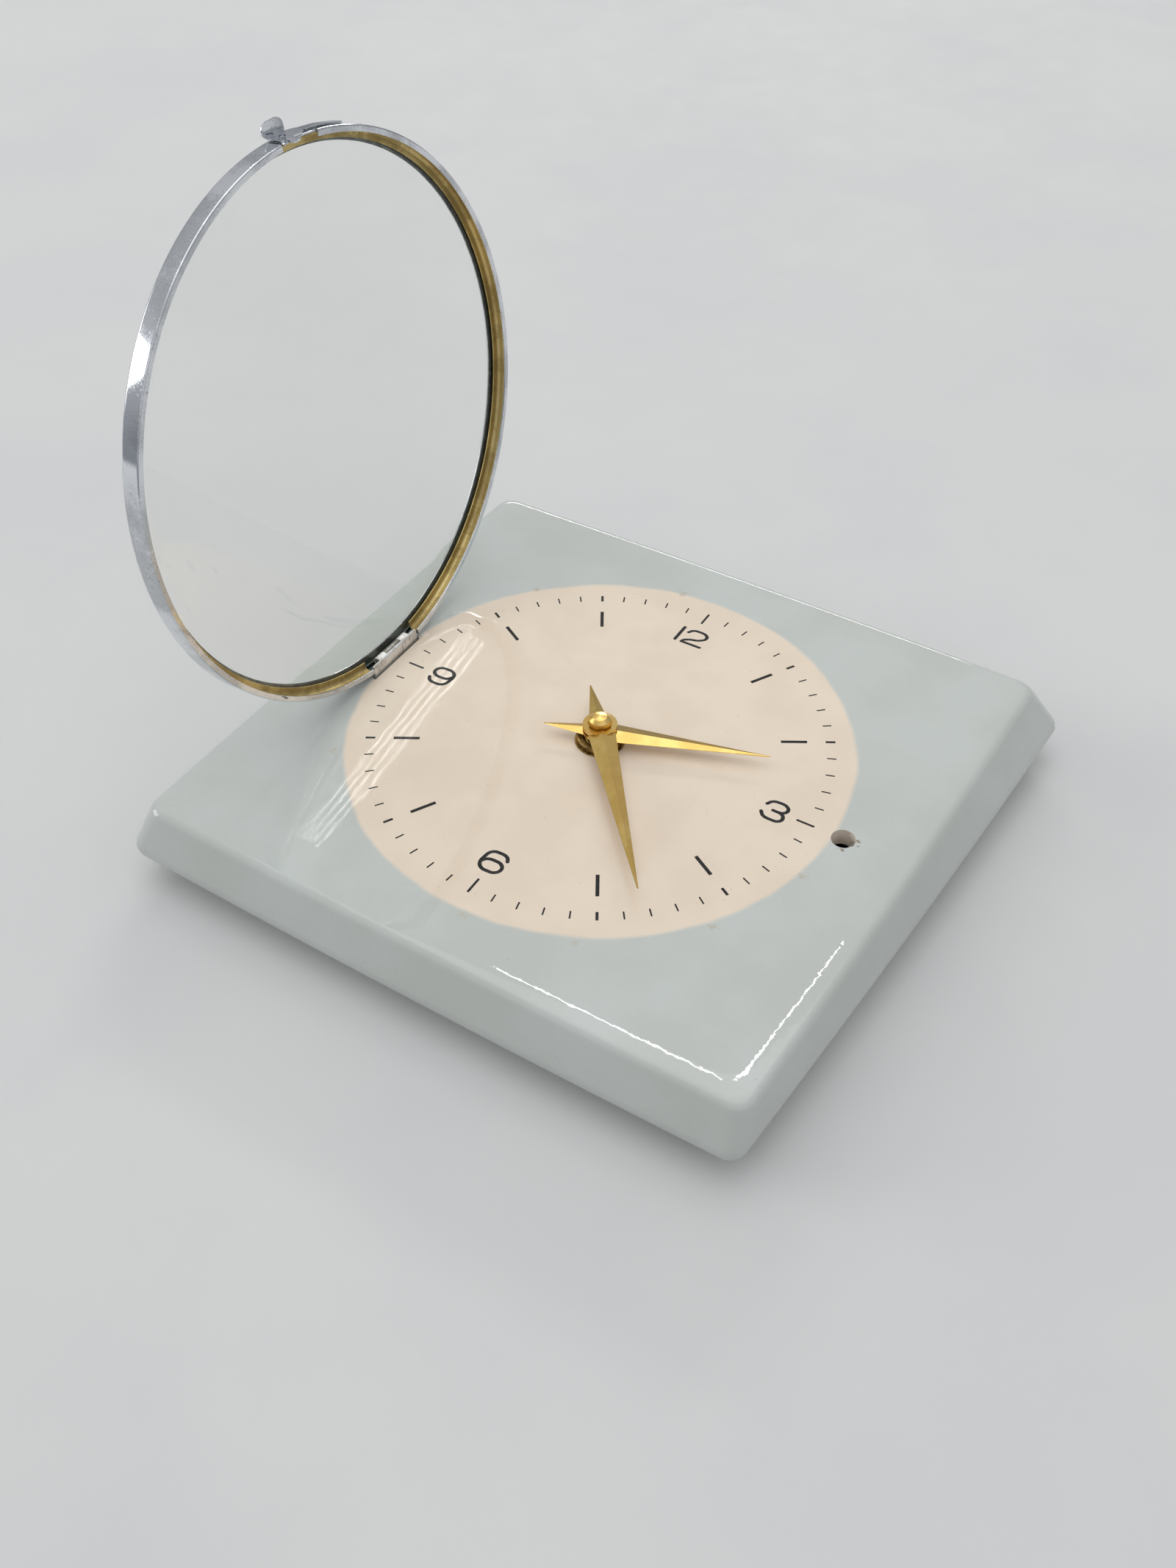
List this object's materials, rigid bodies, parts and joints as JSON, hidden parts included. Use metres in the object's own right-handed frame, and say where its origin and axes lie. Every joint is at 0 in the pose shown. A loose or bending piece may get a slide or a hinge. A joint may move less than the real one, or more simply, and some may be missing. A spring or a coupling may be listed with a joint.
{
  "type": "wall clock",
  "caption": "Glazed ceramic wall clock with a hinged domed glass bezel standing open, brass dagger hands and a battery balance movement in its hollow back.",
  "frame": {"origin": "where the hand axis meets the plane of the back: the middle of the movement's flat back cover, level with the casing's foot rim", "axes": "+Z along the hand axis out of the dial, +X towards 3 o'clock, +Y towards 12 o'clock"},
  "size_m": [0.207, 0.1902, 0.1819],
  "materials": {
    "glazed_ceramic": "glossy pale blue grey glaze with a cream dial",
    "chrome": "polished and slightly pitted",
    "aluminium": "scratched",
    "steel": "plain",
    "clear_glass": "clear",
    "brass": "lacquered",
    "dark_brass": "dulled",
    "copper_wire": "enamelled winding",
    "rubber": "matte",
    "black_plastic": "moulded",
    "ivory_plastic": "moulded",
    "battery_jacket": "printed foil",
    "board": "laminate"
  },
  "bodies": {
    "casing": {"ceramic_casing": "glazed_ceramic", "hinge_leaf_fixed": "aluminium", "hinge_pin": "steel", "catch_clip": "steel", "centre_bush": "dark_brass", "dial_washer": "dark_brass", "dial_nut": "dark_brass", "rubber_gasket": "rubber", "hanging_bracket": "steel", "movement_case": "black_plastic", "pillar_plate": "brass", "train_bridge": "brass", "drive_coil": "copper_wire", "hairspring": "steel", "back_cover": "black_plastic", "cover_screw_1": "steel", "cover_screw_2": "steel", "cover_screw_3": "steel", "cover_screw_4": "steel", "battery": "battery_jacket", "battery_contact_positive": "steel", "battery_contact_negative": "steel", "circuit_board": "board", "transistor": "steel"},
    "bezel": {"bezel_ring": "chrome", "bezel_glass": "clear_glass", "glass_strip": "dark_brass", "hinge_leaf_moving": "steel"},
    "latch": {"latch_leaf": "chrome"},
    "minute": {"minute_arbor": "steel", "minute_hand": "brass", "hand_washer": "brass", "hand_nut": "brass"},
    "hour": {"hour_wheel": "brass", "hour_hand": "brass"},
    "minute_wheel": {"minute_wheel": "brass"},
    "setting": {"setting_arbor": "steel", "setting_knob": "ivory_plastic"},
    "centre_wheel": {"centre_wheel": "brass"},
    "third_wheel": {"third_wheel": "brass"},
    "index_wheel": {"index_wheel": "brass"},
    "balance": {"balance_wheel": "brass", "magnet_lower": "steel", "magnet_upper": "steel"},
    "regulator": {"regulator_lever": "steel"}
  },
  "joints": [
    {"name": "bezel_hinge", "type": "hinge", "parent": "casing", "child": "bezel", "pos_m": [-0.0739, 0, 0.0287], "axis": [0, -1, 0], "range_deg": [-95.3, 0]},
    {"name": "latch_flex", "type": "hinge", "parent": "bezel", "child": "latch", "pos_m": [-0.08877, 0.022, 0.17496], "axis": [-0.9957, 0, -0.0924], "range_deg": [0, 3], "stiffness_Nm_per_rad": 2},
    {"name": "minute_turn", "type": "hinge", "parent": "casing", "child": "minute", "pos_m": [0, 0, 0.0312], "axis": [0, 0, -1], "continuous": true},
    {"name": "hour_turn", "type": "hinge", "parent": "casing", "child": "hour", "pos_m": [0, 0, 0.0294], "axis": [0, 0, -1], "continuous": true},
    {"name": "minute_wheel_turn", "type": "hinge", "parent": "casing", "child": "minute_wheel", "pos_m": [-0.01039, 0.006, 0.0139], "axis": [0, 0, -1], "continuous": true},
    {"name": "setting_turn", "type": "hinge", "parent": "casing", "child": "setting", "pos_m": [-0.01714, 0.01769, 0.0017], "axis": [0, 0, -1], "continuous": true},
    {"name": "index_wheel_turn", "type": "hinge", "parent": "casing", "child": "index_wheel", "pos_m": [0.01438, 0.0157, 0.0112], "axis": [0, 0, -1], "continuous": true},
    {"name": "third_wheel_turn", "type": "hinge", "parent": "casing", "child": "third_wheel", "pos_m": [0.01128, 0.0041, 0.0086], "axis": [0, 0, -1], "continuous": true},
    {"name": "centre_wheel_turn", "type": "hinge", "parent": "casing", "child": "centre_wheel", "pos_m": [0, 0, 0.0059], "axis": [0, 0, -1], "continuous": true},
    {"name": "balance_swing", "type": "hinge", "parent": "casing", "child": "balance", "pos_m": [0.0035, 0.0242, 0.008], "axis": [0, 0, -1], "range_deg": [-120, 120], "stiffness_Nm_per_rad": 0.00001},
    {"name": "regulator_swing", "type": "hinge", "parent": "casing", "child": "regulator", "pos_m": [0.0035, 0.0242, 0.0033], "axis": [0, 0, -1], "range_deg": [-20, 20]}
  ],
  "couplings": [
    {"joint": "hour_turn", "follows": "minute_turn", "ratio": 0.083333},
    {"joint": "minute_wheel_turn", "follows": "minute_turn", "ratio": -0.33333},
    {"joint": "setting_turn", "follows": "minute_turn", "ratio": 0.66667},
    {"joint": "index_wheel_turn", "follows": "third_wheel_turn", "ratio": -4},
    {"joint": "centre_wheel_turn", "follows": "third_wheel_turn", "ratio": -0.25}
  ]
}
